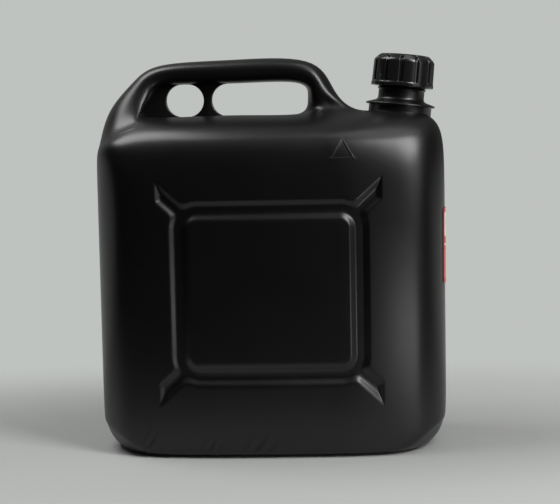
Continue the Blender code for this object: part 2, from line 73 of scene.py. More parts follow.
# Handle
HANDLE_RISE = 0.0485  # from the tank's top to the handle's
BAR_HEIGHT = 0.0203
BAR_WIDTH = 0.033
LEG_SWELL = 0.0145  # the handle's half width grows by this where its left leg leaves the tank
OPENING_INSET = 0.0453  # from the can's left side to the handle's opening
GRIP_END = 0.1158  # from the can's right side to the grip hole
RIGHT_LEG = 0.0225  # from the grip hole to the outer line of the right leg
RIGHT_FALL = 0.0268  # from the handle's top down to that place
VALLEY = 0.0728  # from the can's right side to the dip between handle and neck
SHOULDER_R = 0.0706  # the long round of the handle's left leg
SHOULDER_EDGE = 0.0008  # that round starts this far in from the side
SHOULDER_CURVE = 1.7  # exponent below 2 flattens that round a little
WEB = 0.0055  # pinched plate in the left of the opening
WEB_ROOT = 0.0025  # how far the plate reaches into the tank and the handle
WEB_SIDE_ROOT = 0.006  # and into the left leg
WEB_ROUND = 0.0009
WEB_MARGIN = 0.014  # from the opening's left side to the small hole
SMALL_HOLE = 0.0327
HOLE_GAP = 0.0071  # between the small hole and the grip hole

# Moulded channel on the front and the back
PANEL_Z = 0.1394
RING_HALF_X = 0.0748
RING_HALF_Z = 0.0690
RING_CORNER = 0.016
CHANNEL_DEPTH = 0.0042  # of the mould
SPUR_X = 0.0925  # from the can's middle to the ends of the spurs
SPUR_RISE = 0.0845  # from the panel's middle up or down to those ends

# Neck, along its own axis from the flange's middle
NECK_INSET = 0.0360  # from the can's right side to the flange's middle
NECK_RISE = 0.0069  # from the tank's top to the flange's middle
NECK_TILT = math.radians(6)
NECK_R = 0.01975
BORE_R = 0.01675
RIM = 0.0383
FLANGE_R = 0.02975
FLANGE_EDGE = 0.0015
FLANGE_SLOPE = math.radians(17.5)
COLLAR_R = 0.027
COLLAR_HEIGHT = 0.005
COLLAR_ROOT = 0.009  # how far the collar reaches into the shoulder
BEAD_AT = 0.0135
BEAD_R = 0.0011

# Thread of the neck and the cap
PITCH = 0.006
RIDGE_R = 0.0016
RIDGE_SEAT = 0.0002  # how far the ridge's middle line lies inside the wall that carries it
THREAD_START = 0.0205
THREAD_TURNS = 1.9
THREAD_STEPS = 48  # of each turn
THREAD_FADE = 8  # steps over which an end grows
THREAD_TIP = 0.2  # share of the ridge's radius at its ends
CAP_TURNS = 1.5

# Cap
CAP_BOTTOM = 0.0155
CAP_HEIGHT = 0.0275
CAP_TOP_R = 0.0260
CAP_FOOT_R = 0.0268
CAP_BORE_R = 0.0224
CAP_ROOF = 0.0025
CAP_RING = 0.0026
CAP_CHAMFER = 0.0050
CAP_DRAFT = 0.0004  # the grip is this much wider at its foot
LOBES = 12
LOBE_TURN = math.radians(7.3)  # a groove lies this far left of the front
GROOVE = 0.0016
SEAL = 0.0016
SEAL_R = 0.0200
SEAL_BORE_R = 0.0135

# Label on the right side
LABEL_LOW = 0.141
LABEL_HEIGHT = 0.064
LABEL_WIDTH = 0.072
LABEL_SHEET = 0.0003
LABEL_TOP = LABEL_LOW + LABEL_HEIGHT

GAP = 0.0003  # between pieces that touch on the real can
FIT_STEPS = 8
SAME_PLACE = 1e-6  # points nearer than this are one

# Forms that are moulded into the skin
SPUR_ROOT_X = RING_HALF_X - RING_CORNER * (1 - math.sqrt(0.5))
SPUR_ROOT_Z = RING_HALF_Z - RING_CORNER * (1 - math.sqrt(0.5))
FLANK_AT = 0.00565  # from a channel's middle to the middle of its flank
FLANK_RUN = 0.0060
FLANK_ROUND = 0.2  # share of the flank that is rounded at either end
PRESS_DEPTH = 0.0032  # the skin follows the mould a little less deep than its channel
SPUR_FLANK_AT = 0.0046
SPUR_WALL_X = SPUR_X - 0.0011  # middle of the slope that ends a spur
CHANNEL_BLEND = 0.005
TRIANGLE_X = 0.0620
TRIANGLE_Z = 0.2546
TRIANGLE_SIDE = 0.0175
TRIANGLE_LINE = 0.0017
TRIANGLE_OVERRUN = 0.0012
TRIANGLE_RAISE = 0.0005
TRIANGLE_LOW = 0.2  # the triangle lies above this
FOLD_Z = 0.011
FOLD_BAND = 0.008  # half the height of the strip that they lie in
FOLD_SLANT = 0.6
FOLD_HEIGHT = 0.0008
FOLDS_HIGH = 0.05  # none reaches above this
FOLDS = ((-0.103, 0.007, 1.6), (-0.050, 0.011, 3.0), (-0.010, 0.018, 3.0))  # middle, reach, waves
LINE_HALF = 0.0004  # half the width of a mould line
LEG_LINE = (0.316, -0.949, 0.2985)  # across the left leg: shares of x and z, and its offset
LEG_LINE_RIGHT = -0.112
LEG_LINE_LOW = 0.262
NECK_LINE_R = 0.0320
NECK_LINE_ALONG = -0.004  # this arc lies below here along the neck's axis
NECK_LINE_LOW = 0.25
GROOVE_HALF = math.radians(4.8)
CAP_DISH = 0.0005
CAP_DISH_R = 0.0130
GROOVE_LOW = (CAP_RING + 0.0004, CAP_RING + 0.0014)  # heights between which the grooves begin
GROOVE_TOP = (CAP_TOP_R - CAP_CHAMFER - 0.0035, CAP_TOP_R - CAP_CHAMFER + 0.0010)  # radii, on the top
CAP_STEP = 0.0012  # longest edge of the cap's outline
LOBE_STEPS = 32
LABEL_CORNER = 0.003
LABEL_LIFT = 0.00035
LABEL_STRIPS = 36
LABEL_START = 0.010  # it is laid on from here

# Finishes
CAN_BLACK = (0.0030, 0.0030, 0.0028)
CAN_SCRATCHED = (0.0060, 0.0060, 0.0057)
CAN_ROUGH = (0.29, 0.36)
CAP_BLACK = (0.0080, 0.0080, 0.0080)
CAP_ROUGH = (0.16, 0.26)
LABEL_RED = (0.55, 0.03, 0.02)
LABEL_WHITE = (0.85, 0.85, 0.83)
LABEL_PALE = (0.62, 0.16, 0.12)
LABEL_EDGE = 0.003  # the red stock shows this wide at either side
LABEL_PRINT = (  # colour, lower edge, upper edge
    (LABEL_WHITE, LABEL_TOP - 0.024, LABEL_TOP - 0.004),
    (LABEL_WHITE, LABEL_TOP - 0.032, LABEL_TOP - 0.0305),
    (LABEL_PALE, LABEL_LOW + 0.004, LABEL_TOP - 0.036),
)
BACKDROP = (0.52, 0.54, 0.52)

# Studio, in which a lamp has a turn to the right, a rise, a distance, two sides and a power
FLOOR_PALE = (0.42, 0.43, 0.42)
FLOOR_DARK = (0.02, 0.02, 0.02)
FLOOR_SIZE = 12.0
FLOOR_CLEAR = 0.12  # the floor is itself up to here, and has run into the backdrop from FLOOR_FADE on
FLOOR_FADE = 0.42
FLOOR_STRETCH = 0.5  # those distances are longer to the sides
BEHIND = (0.0, 0.3)  # from the can's middle to where mirrored rays see only the backdrop
ROOM = (0.95, 0.97, 0.96)
ROOM_FRONT = 0.015
ROOM_BACK = 0.25
ROOM_TOP = 0.20
ROOM_RIGHT = 0.35  # share of the light from behind that is left at the right
ROOM_BACK_RUN = (0.0, 0.7)  # each of these lights grows between two parts of a direction
ROOM_TOP_RUN = (0.3, 0.9)
ROOM_RIGHT_RUN = (-0.4, 0.4)
AIM = Vector((0, 0, 0.2))
LAMPS = (
    ("key", 48, 34, 1.25, (0.42, 0.80), 12.5),
    ("left_top", -90, 60, 1.20, (0.75, 0.70), 10.0),
    ("right_low", 54, 8, 1.20, (0.60, 0.40), 0.8),
    ("right_top", 70, 68, 1.20, (0.60, 0.60), 1.8),
    ("right_floor", 45, -17, 0.53, (0.24, 0.08), 0.22),
)

# Camera
CAMERA_LENS = 85.15
CAMERA_SENSOR = 36
CAMERA_YAW = math.radians(2.226)
CAMERA_PITCH = math.radians(5.3)
CAMERA_ROLL = math.radians(1.1)
CAMERA_AT = (0.0515, -1.158, 0.274)

HALF_W = WIDTH / 2
HALF_D = DEPTH / 2
OPEN_LEFT = OPENING_INSET - HALF_W
OPEN_RIGHT = HALF_W - GRIP_END
HANDLE_TOP = TANK_TOP + HANDLE_RISE
CEILING = HANDLE_TOP - BAR_HEIGHT
END_R = (CEILING - TANK_TOP) / 2
HOLE_Z = TANK_TOP + END_R

# Where the skin gets finer faces
FACE_Y = 0.6 * HALF_D  # the front and the back lie beyond this
CORNER_BAND = (0.115, 0.1475)  # where the faces turn into the sides
CORNER_LOW = 0.004
CORNER_Y = 0.03
FOOT_HIGH = 0.030
FOOT_Y = 0.050
SHOULDER_BAND = (TANK_TOP - 0.050, TANK_TOP + 0.006)
SHOULDER_Y = 0.018
CHANNEL_REACH = 0.009  # from a channel's outline
FORM_REACHES = (0.0065, 0.0040)  # from the outline of a channel or the triangle
TRIANGLE_REACHES = (0.0022, 0.0014)
FOLDS_BOX = ((-0.12, 0.02), -0.04, 0.026)  # in x, in front of y, below z

# The cavity is flat inside the first number and full from the second
FLAT_X = (SPUR_X + 0.002, SPUR_X + 0.016)
FLAT_Z = (SPUR_RISE + 0.012, SPUR_RISE + 0.026)


def object_from(bm, name):
    mesh = bpy.data.meshes.new(name)
    bmesh.ops.recalc_face_normals(bm, faces=bm.faces)
    bm.to_mesh(mesh)
    bm.free()
    obj = bpy.data.objects.new(name, mesh)
    bpy.context.collection.objects.link(obj)
    return obj


def patch(bm, rows):
    """Quads between rows of equally many points."""
    grid = [[bm.verts.new(point) for point in row] for row in rows]
    for low, high in zip(grid, grid[1:]):
        for i in range(len(low) - 1):
            bm.faces.new((low[i], low[i + 1], high[i + 1], high[i]))


# The can's smooth outside: half a cage of quads, mirrored and subdivided


def plan_depth(x, inset=0.0):
    """Half the tank's depth at x, or of the same outline moved inwards."""
    share = min(abs(x) / (HALF_W - inset), 1)
    return (HALF_D - inset) * (1 - share**SQUARENESS) ** (1 / SQUARENESS)


def plan_width(y, inset=0.0):
    share = min(abs(y) / (HALF_D - inset), 1)
    return (HALF_W - inset) * (1 - share**SQUARENESS) ** (1 / SQUARENESS)


CORNER_X = HALF_W - PLAN_CORNER
SIDE_Y = -0.44 * HALF_D
COLUMNS = (
    -CORNER_X,
    OPEN_LEFT,
    (OPEN_LEFT + OPEN_RIGHT) / 2,
    OPEN_RIGHT + END_R * 0.25,
    OPEN_RIGHT + RIGHT_LEG * 0.955,
    HALF_W - VALLEY * 1.027,
    HALF_W - NECK_INSET * 1.14,
    CORNER_X,
)


def tank_row(z, inset=0.0):
    """The half outline at a height, from the left side round the front to the right side."""
    shrink = (HALF_W - inset) / HALF_W
    side_x = plan_width(SIDE_Y, inset)
    row = [Vector((-HALF_W + inset, 0, z)), Vector((-side_x, SIDE_Y, z))]
    row += [Vector((x * shrink, -plan_depth(x * shrink, inset), z)) for x in COLUMNS]
    return row + [Vector((side_x, SIDE_Y, z)), Vector((HALF_W - inset, 0, z))]


def foot_row(degrees):
    """The outline where the foot's round has turned under by an angle. It is wider at the sides."""
    angle = math.radians(degrees)
    rise, inwards = 1 - math.sin(angle), 1 - math.cos(angle)
    side = tank_row(FOOT_TALL * rise, FOOT_SIDE * inwards)
    corner = tank_row((FOOT_TALL + FOOT_FRONT) / 2 * rise, (FOOT_SIDE + FOOT_FRONT) / 2 * inwards)
    front = tank_row(FOOT_FRONT * rise, FOOT_FRONT * inwards)
    return side[:2] + corner[2:3] + front[3:-3] + corner[-3:-2] + side[-2:]


def shoulder_row():
    """Where the front turns into the top: the left end climbs into the handle, the right end is a corner."""
    turn = TOP_ROUND * (1 - math.sqrt(0.5))
    row = tank_row(TANK_TOP - turn, turn)
    row[0] = Vector((-HALF_W + SHOULDER_EDGE, 0, TANK_TOP - LEFT_DROP))
    row[1] = Vector((-HALF_W + LEFT_DROP * 0.22, SIDE_Y * 0.92, TANK_TOP - LEFT_DROP * 0.96))
    row[2] = Vector((-CORNER_X * 0.985, -HALF_D * 0.68, TANK_TOP - LEFT_DROP * 0.79))
    row[-3] = Vector((CORNER_X * 0.975, -HALF_D * 0.66, TANK_TOP - TOP_ROUND * 0.35))
    row[-2] = Vector((HALF_W - RIGHT_INSET * 1.33, SIDE_Y * 0.8, TANK_TOP - RIGHT_DROP * 1.31))
    row[-1] = Vector((HALF_W - RIGHT_INSET, 0, TANK_TOP - RIGHT_DROP))
    return row


def top_row():
    """Along the tank's top, beside the handle."""
    y = -BAR_WIDTH * 0.7
    shares = (0, 0, 0.27, 1, 0.73, 0.83)
    return [Vector((x, y, TANK_TOP + SWELL * share)) for x, share in zip(COLUMNS[1:-1], shares)]


def shoulder_arc(degrees):
    """Point of the handle's outer line, as (x, z)."""
    c, s = math.cos(math.radians(degrees)), math.sin(math.radians(degrees))
    r = SHOULDER_R * (abs(c) ** SHOULDER_CURVE + abs(s) ** SHOULDER_CURVE) ** (-1 / SHOULDER_CURVE)
    return -HALF_W + SHOULDER_EDGE + SHOULDER_R + r * c, HANDLE_TOP - SHOULDER_R + r * s


def hole_end(degrees):
    """Point of the grip hole's right end, as (x, z)."""
    angle = math.radians(degrees)
    return OPEN_RIGHT - END_R + END_R * math.cos(angle), HOLE_Z + END_R * math.sin(angle)


def handle_section(outer, inner, half_width, lean=0.0):
    """Half the handle's tube: outer line, three points on the front, inner line.

    A leaning section is widest nearer to its inner line."""
    centre = (Vector(outer) + Vector(inner)) / 2
    half = (Vector(outer) - Vector(inner)) / 2
    points = []
    for degrees in (90, 42, 0, -42, -90):
        angle = math.radians(degrees)
        reach = math.sin(angle) - lean * math.cos(angle) * (0.4 if degrees > 0 else 1)
        reach = max(reach, -0.93) if lean and degrees > -90 else reach
        across = centre + half * reach
        points.append(Vector((across.x, -half_width * math.cos(angle) ** 0.8, across.y)))
    return points


def handle_sections():
    half = BAR_WIDTH / 2
    middle = (OPEN_LEFT + OPEN_RIGHT) / 2
    return [
        handle_section(shoulder_arc(157), (OPEN_LEFT, TANK_TOP), half + LEG_SWELL, 0.5),
        handle_section(shoulder_arc(129), (OPEN_LEFT + END_R * 0.07, HOLE_Z), half + LEG_SWELL * 0.3, 0.35),
        handle_section(shoulder_arc(104), (OPEN_LEFT + END_R, CEILING - END_R * 0.1), half),
        handle_section((middle, HANDLE_TOP), (middle, CEILING), half),
        handle_section((OPEN_RIGHT - END_R * 0.1, HANDLE_TOP - RIGHT_FALL * 0.09), hole_end(76), half),
        handle_section((OPEN_RIGHT + RIGHT_LEG, HANDLE_TOP - RIGHT_FALL), hole_end(2), half + LEG_SWELL / 10),
    ]


def base_patch(edge_row, low):
    """Rows of the base from its front edge to the mid-plane."""
    inner = [Vector((p.x, SIDE_Y, low)) for p in edge_row[3:-3]]
    middle = [Vector((p.x, 0, low)) for p in edge_row[3:-3]]
    return [
        edge_row[2:-2],
        [edge_row[1], *inner, edge_row[-2]],
        [edge_row[0], *middle, edge_row[-1]],
    ]


def cage(low):
    """Half the can in front of its mid-plane, with the base at height low."""
    bm = bmesh.new()
    edge, heel = foot_row(60), foot_row(24)
    shoulder = shoulder_row()
    levels = (FOOT_TALL * 1.1, PANEL_Z, TANK_TOP - TOP_ROUND * 1.11)
    patch(bm, [edge, heel, *(tank_row(z) for z in levels), shoulder])
    patch(bm, base_patch(edge, low))
    top = top_row()
    sections = handle_sections()
    patch(bm, [shoulder[:3], sections[0][:3]])
    patch(bm, [shoulder[2:4], [sections[0][2], sections[0][3]]])
    top[0] = sections[0][3]
    patch(bm, [shoulder[3:-3] + [shoulder[-3]], top + [shoulder[-2]]])
    sill = [sections[0][4], Vector((top[1].x, 0, TANK_TOP)), Vector((*hole_end(-76), 0)).xzy]
    patch(bm, [top[:3], sill])
    valley = [Vector((x, 0, TANK_TOP + SWELL)) for x in (HALF_W - VALLEY, COLUMNS[-2])]
    patch(bm, [[*top[4:], shoulder[-2]], [*valley, shoulder[-1]]])
    leg = [valley[0], top[4], top[3], top[2], sill[2]]
    patch(bm, sections + [leg])
    bmesh.ops.remove_doubles(bm, verts=bm.verts, dist=SAME_PLACE)
    return bm


def mirror_cage(bm):
    """The back half, welded on at the mid-plane."""
    copied = bmesh.ops.duplicate(bm, geom=bm.verts[:] + bm.edges[:] + bm.faces[:])["geom"]
    verts = [item for item in copied if isinstance(item, bmesh.types.BMVert)]
    faces = [item for item in copied if isinstance(item, bmesh.types.BMFace)]
    bmesh.ops.scale(bm, vec=(1, -1, 1), verts=verts)
    bmesh.ops.reverse_faces(bm, faces=faces)
    bmesh.ops.remove_doubles(bm, verts=bm.verts, dist=SAME_PLACE)
    bmesh.ops.recalc_face_normals(bm, faces=bm.faces)


def limit_point(vert):
    """Where the endlessly subdivided surface passes near a cage point."""
    n = len(vert.link_faces)
    beside = sum((edge.other_vert(vert).co for edge in vert.link_edges), Vector())
    across = Vector()
    for face in vert.link_faces:
        near = {vert, *(edge.other_vert(vert) for edge in vert.link_edges)}
        across += next(v.co for v in face.verts if v not in near)
    return (n * n * vert.co + 4 * beside + across) / (n * (n + 5))


def fit_cage(bm):
    """Moves the cage outwards until its smooth surface passes through the points that it was given."""
    wanted = {vert: vert.co.copy() for vert in bm.verts}
    for _ in range(FIT_STEPS):
        misses = {vert: wanted[vert] - limit_point(vert) for vert in bm.verts}
        for vert, miss in misses.items():
            vert.co += miss


# Working on one object at a time


def pick(obj):
    """Makes obj the only selected object, and the active one."""
    if bpy.context.object and bpy.context.object.mode != "OBJECT":
        bpy.ops.object.mode_set(mode="OBJECT")
    bpy.ops.object.select_all(action="DESELECT")
    obj.select_set(True)
    bpy.context.view_layer.objects.active = obj


def apply_modifiers(obj):
    pick(obj)
    for modifier in list(obj.modifiers):
        bpy.ops.object.modifier_apply(modifier=modifier.name)


def settle(obj, matrix):
    """Puts the object's place into its mesh."""
    obj.data.transform(matrix)
    obj.matrix_world = Matrix.Identity(4)


def points_of(obj):
    co = np.zeros(len(obj.data.vertices) * 3)
    obj.data.vertices.foreach_get("co", co)
    return co.reshape(-1, 3)


def move_points(obj, co):
    obj.data.vertices.foreach_set("co", co.ravel())
    obj.data.update()


def middles_of(obj):
    co = np.zeros(len(obj.data.polygons) * 3)
    obj.data.polygons.foreach_get("center", co)
    return co.reshape(-1, 3)


def subdivide_where(obj, chosen):
    """Cuts each chosen face in four."""
    pick(obj)
    mesh = obj.data
    mesh.vertices.foreach_set("select", np.zeros(len(mesh.vertices), bool))
    mesh.edges.foreach_set("select", np.zeros(len(mesh.edges), bool))
    mesh.polygons.foreach_set("select", chosen)
    bpy.ops.object.mode_set(mode="EDIT")
    bpy.ops.mesh.select_mode(type="FACE")
    bpy.ops.mesh.subdivide(number_cuts=1)
    bpy.ops.object.mode_set(mode="OBJECT")


def finish_editing():
    """Welds the mesh in edit mode, turns its faces outwards, and leaves that mode."""
    bpy.ops.mesh.select_all(action="SELECT")
    bpy.ops.mesh.remove_doubles(threshold=SAME_PLACE)
    bpy.ops.mesh.normals_make_consistent(inside=False)
    bpy.ops.object.mode_set(mode="OBJECT")


def shade(obj, degrees):
    """Smooth, but for edges sharper than an angle."""
    pick(obj)
    bpy.ops.object.shade_smooth_by_angle(angle=math.radians(degrees))


def combine(obj, operation, other):
    """Joins a solid on or cuts it out, and removes it."""
    modifier = obj.modifiers.new(operation.lower(), "BOOLEAN")
    modifier.operation = operation
    modifier.object = other
    modifier.solver = "EXACT"
    apply_modifiers(obj)
    bpy.data.objects.remove(other)


# What is moulded into the skin


def smooth_step(low, high, value):
    share = np.clip((value - low) / (high - low), 0, 1)
    return share * share * (3 - 2 * share)


def ramp(share, ends):
    """A straight rise from 0 to 1 with rounded ends."""
    share = np.clip(share, 0, 1)
    low = share**2 / (2 * ends * (1 - ends))
    high = 1 - (1 - share) ** 2 / (2 * ends * (1 - ends))
    return np.where(share < ends, low, np.where(share > 1 - ends, high, (share - ends / 2) / (1 - ends)))


def smooth_least(a, b, blend):
    """The lesser of two distances, with the crease between them rounded."""
    share = np.clip(0.5 + 0.5 * (b - a) / blend, 0, 1)
    return b + (a - b) * share - blend * share * (1 - share)


def from_ring(x, z):
    """Distance from the ring's middle line."""
    qx = np.abs(x) - (RING_HALF_X - RING_CORNER)
    qz = np.abs(z - PANEL_Z) - (RING_HALF_Z - RING_CORNER)
    outside = np.hypot(np.maximum(qx, 0), np.maximum(qz, 0))
    return np.abs(outside + np.minimum(np.maximum(qx, qz), 0) - RING_CORNER)


def from_spurs(x, z):
    """Distance outside the spurs' flanks. It is negative inside them."""
    px, pz = np.abs(x) - SPUR_ROOT_X, np.abs(z - PANEL_Z) - SPUR_ROOT_Z
    run_x, run_z = SPUR_X - SPUR_ROOT_X, SPUR_RISE - SPUR_ROOT_Z
    length = math.hypot(run_x, run_z)
    along = (px * run_x + pz * run_z) / length
    across = np.abs(px * run_z - pz * run_x) / length
    return np.maximum(np.maximum(across - SPUR_FLANK_AT, np.abs(x) - SPUR_WALL_X), -along)


def press(x, z):
    """How deep the channels lie below the face."""
    off = smooth_least(from_ring(x, z) - FLANK_AT, from_spurs(x, z), CHANNEL_BLEND)
    return PRESS_DEPTH * (1 - ramp(off / FLANK_RUN + 0.5, FLANK_ROUND))


def from_channel(x, z):
    return np.minimum(from_ring(x, z) - FLANK_AT, from_spurs(x, z))


def from_segment(x, z, start, end):
    run = np.array(end) - np.array(start)
    share = np.clip(((x - start[0]) * run[0] + (z - start[1]) * run[1]) / (run @ run), 0, 1)
    return np.hypot(x - start[0] - share * run[0], z - start[1] - share * run[1])


def triangle_lines():
    """The three sides of the raised triangle as (x, z) ends. They cross a little at its corners."""
    half, tall = TRIANGLE_SIDE / 2, TRIANGLE_SIDE * math.sqrt(0.75)
    corners = [(-half, -tall / 3), (half, -tall / 3), (0, tall * 2 / 3)]
    corners = [(TRIANGLE_X + a, TRIANGLE_Z + b) for a, b in corners]
    lines = []
    for i in range(3):
        a, b = np.array(corners[i]), np.array(corners[(i + 1) % 3])
        past = (b - a) / np.linalg.norm(b - a) * TRIANGLE_OVERRUN
        lines.append((a - past, b + past))
    return lines


def from_triangle(x, z):
    return np.min([from_segment(x, z, a, b) for a, b in triangle_lines()], axis=0)


def wrinkles(x, z):
    """Small slanting folds where the hot plastic bunched along the foot."""
    height = np.zeros_like(x)
    for middle, reach, lines in FOLDS:
        near = np.exp(-(((x - middle) / reach) ** 2)) * np.exp(-(((z - FOLD_Z) / FOLD_BAND) ** 2))
        height += near * np.sin((x - middle - FOLD_SLANT * (z - FOLD_Z)) * math.pi * lines / reach)
    return FOLD_HEIGHT * height


def mould(obj):
    """Presses the channels into both faces, and raises the small forms."""
    co = points_of(obj)
    x, y, z = co.T
    side = np.where(y < 0, 1.0, -1.0)
    normals = np.zeros(len(co) * 3)
    obj.data.vertices.foreach_get("normal", normals)
    off = smooth_step(0.25 * TRIANGLE_LINE, 0.5 * TRIANGLE_LINE, from_triangle(x, z))
    triangle = np.where((y < 0) & (z > TRIANGLE_LOW), TRIANGLE_RAISE * (1 - off), 0)
    raised = triangle + np.where((y < 0) & (z < FOLDS_HIGH), wrinkles(x, z), 0)
    pressed = np.where(np.abs(y) > FACE_Y, side * press(x, z), 0)
    co[:, 1] += pressed
    co += normals.reshape(-1, 3) * raised[:, None]
    move_points(obj, co)


def flatten_inside(obj):
    """Keeps the cavity's faces clear of the channels."""
    co = points_of(obj)
    x, y, z = co.T
    near_x = 1 - smooth_step(*FLAT_X, np.abs(x))
    near_z = 1 - smooth_step(*FLAT_Z, np.abs(z - PANEL_Z))
    face = np.abs(y) > FACE_Y
    co[:, 1] -= np.where(face, np.sign(y) * CHANNEL_DEPTH * 1.1 * near_x * near_z, 0)
    move_points(obj, co)


# Can


def smooth_can(name, levels, inset=0.0, low=-FOOT_SAG):
    """The can's smooth outside, or the same shape further in."""
    bm = cage(low)
    mirror_cage(bm)
    if inset:
        bm.normal_update()
        for vert in bm.verts:
            vert.co -= vert.normal * inset
        for vert in bm.verts:
            vert.co.z = max(vert.co.z, low)
    fit_cage(bm)
    obj = object_from(bm, name)
    subdivide = obj.modifiers.new("smooth", "SUBSURF")
    subdivide.levels = levels
    subdivide.render_levels = levels
    apply_modifiers(obj)
    return obj


def between(value, low, high):
    return (value > low) & (value < high)


def by_triangle(x, y, z, reach):
    return (from_triangle(x, z) < reach) & (y < 0) & (z > TRIANGLE_LOW)


def by_folds(x, y, z):
    across, front, high = FOLDS_BOX
    return between(x, *across) & (y < front) & (z < high)


def refine(obj):
    """Adds faces where the can is rounded or moulded, and lays them on the smooth form."""
    x, y, z = middles_of(obj).T
    corner = between(np.abs(x), *CORNER_BAND) & (z > CORNER_LOW) & (np.abs(y) > CORNER_Y)
    foot = (z < FOOT_HIGH) & (np.abs(y) > FOOT_Y)
    shoulder = between(z, *SHOULDER_BAND) & (np.abs(y) > SHOULDER_Y)
    channel = (np.abs(y) > FACE_Y) & (np.abs(from_channel(x, z)) < CHANNEL_REACH)
    subdivide_where(obj, shoulder | corner | foot | channel)
    for reach in FORM_REACHES:
        x, y, z = middles_of(obj).T
        chosen = (np.abs(from_channel(x, z)) < reach) & (np.abs(y) > FACE_Y) | by_triangle(x, y, z, reach)
        if reach == FORM_REACHES[0]:
            chosen |= by_folds(x, y, z)
        subdivide_where(obj, chosen)
    for reach in TRIANGLE_REACHES:
        subdivide_where(obj, by_triangle(*middles_of(obj).T, reach))
    target = smooth_can("smooth_target", 5)
    lay = obj.modifiers.new("lay", "SHRINKWRAP")
    lay.target = target
    lay.wrap_method = "TARGET_PROJECT"
    apply_modifiers(obj)
    bpy.data.objects.remove(target)


def spun(name, profile, steps, closed=False):
    """A turned solid from (radius, height) points. The outline ends on the axis, or closes on itself."""
    mesh = bpy.data.meshes.new(name)
    obj = bpy.data.objects.new(name, mesh)
    bpy.context.collection.objects.link(obj)
    count = len(profile)
    edges = [(i, (i + 1) % count) for i in range(count if closed else count - 1)]
    mesh.from_pydata([(r, 0, z) for r, z in profile], edges, [])
    pick(obj)
    bpy.ops.object.mode_set(mode="EDIT")
    bpy.ops.mesh.select_all(action="SELECT")
    bpy.ops.mesh.spin(steps=steps, angle=2 * math.pi, center=(0, 0, 0), axis=(0, 0, 1))
    finish_editing()
    return obj


def rounded(points, turns=4):
    """The outline with each corner rounded by the third number that its point gives."""
    out = []
    for i, (r, z, reach) in enumerate(points):
        here = Vector((r, z))
        if i in (0, len(points) - 1) or not reach:
            out.append((r, z))
            continue
        before, after = Vector(points[i - 1][:2]) - here, Vector(points[i + 1][:2]) - here
        a = here + before.normalized() * min(reach, before.length * 0.45)
        b = here + after.normalized() * min(reach, after.length * 0.45)
        for step in range(turns + 1):
            t = step / turns
            out.append(tuple(a * (1 - t) ** 2 + here * 2 * t * (1 - t) + b * t**2))
    return out


def thread(name, radius, start, turns):
    """One helical ridge whose ends fade into the wall that carries it."""
    count = round(turns * THREAD_STEPS)
    curve = bpy.data.curves.new(name, "CURVE")
    curve.dimensions = "3D"
    curve.bevel_depth = RIDGE_R
    curve.bevel_resolution = 3
    curve.use_fill_caps = True
    spline = curve.splines.new("POLY")
    spline.points.add(count)
    for i, point in enumerate(spline.points):
        angle = 2 * math.pi * i / THREAD_STEPS
        height = start + PITCH * i / THREAD_STEPS
        point.co = (radius * math.cos(angle), radius * math.sin(angle), height, 1)
        grown = min(1, i / THREAD_FADE, (count - i) / THREAD_FADE)
        point.radius = THREAD_TIP + (1 - THREAD_TIP) * grown
    obj = bpy.data.objects.new(name, curve)
    bpy.context.collection.objects.link(obj)
    pick(obj)
    bpy.ops.object.convert(target="MESH")
    obj = bpy.context.object
    bpy.ops.object.mode_set(mode="EDIT")
    finish_editing()
    return obj


def neck_place():
    middle = Vector((HALF_W - NECK_INSET, 0, TANK_TOP + NECK_RISE))
    return Matrix.Translation(middle) @ Matrix.Rotation(NECK_TILT, 4, "Y")


def neck():
    """The neck with its thread and bead, the sloping flange, and the collar that runs into the shoulder."""
    cone_top = FLANGE_EDGE / 2 + (FLANGE_R - NECK_R) * math.tan(FLANGE_SLOPE)
    profile = [
        (0, RIM, 0),
        (NECK_R, RIM, 0.0009),
        (NECK_R, BEAD_AT + BEAD_R, 0.0005),
        (NECK_R + BEAD_R * 1.4, BEAD_AT, 0.0012),
        (NECK_R, BEAD_AT - BEAD_R, 0.0005),
        (NECK_R, cone_top, 0.0025),
        (FLANGE_R, FLANGE_EDGE / 2, 0.0006),
        (FLANGE_R, -FLANGE_EDGE / 2, 0.0006),
        (COLLAR_R, -FLANGE_EDGE / 2, 0.0010),
        (COLLAR_R, -COLLAR_ROOT, 0),
        (COLLAR_R - WALL, -COLLAR_ROOT - 0.001, 0),
        (0, -COLLAR_ROOT - 0.001, 0),
    ]
    made = spun("neck", rounded(profile), 128)
    combine(made, "UNION", thread("neck_thread", NECK_R - RIDGE_SEAT, THREAD_START, THREAD_TURNS))
    settle(made, neck_place())
    return made


def bore():
    """What is cut out of the neck and the can's top below it."""
    inside = COLLAR_R - WALL
    profile = [
        (0, RIM + 0.005, 0),
        (BORE_R + 0.004, RIM + 0.005, 0),
        (BORE_R + 0.0006, RIM, 0.0012),
        (BORE_R, RIM - 0.0020, 0.0010),
        (BORE_R, -0.001, 0.0020),
        (inside, -COLLAR_HEIGHT, 0.0020),
        (inside, -COLLAR_ROOT - 0.003, 0),
        (0, -COLLAR_ROOT - 0.003, 0),
    ]
    made = spun("bore", rounded(profile), 128)
    settle(made, neck_place())
    return made


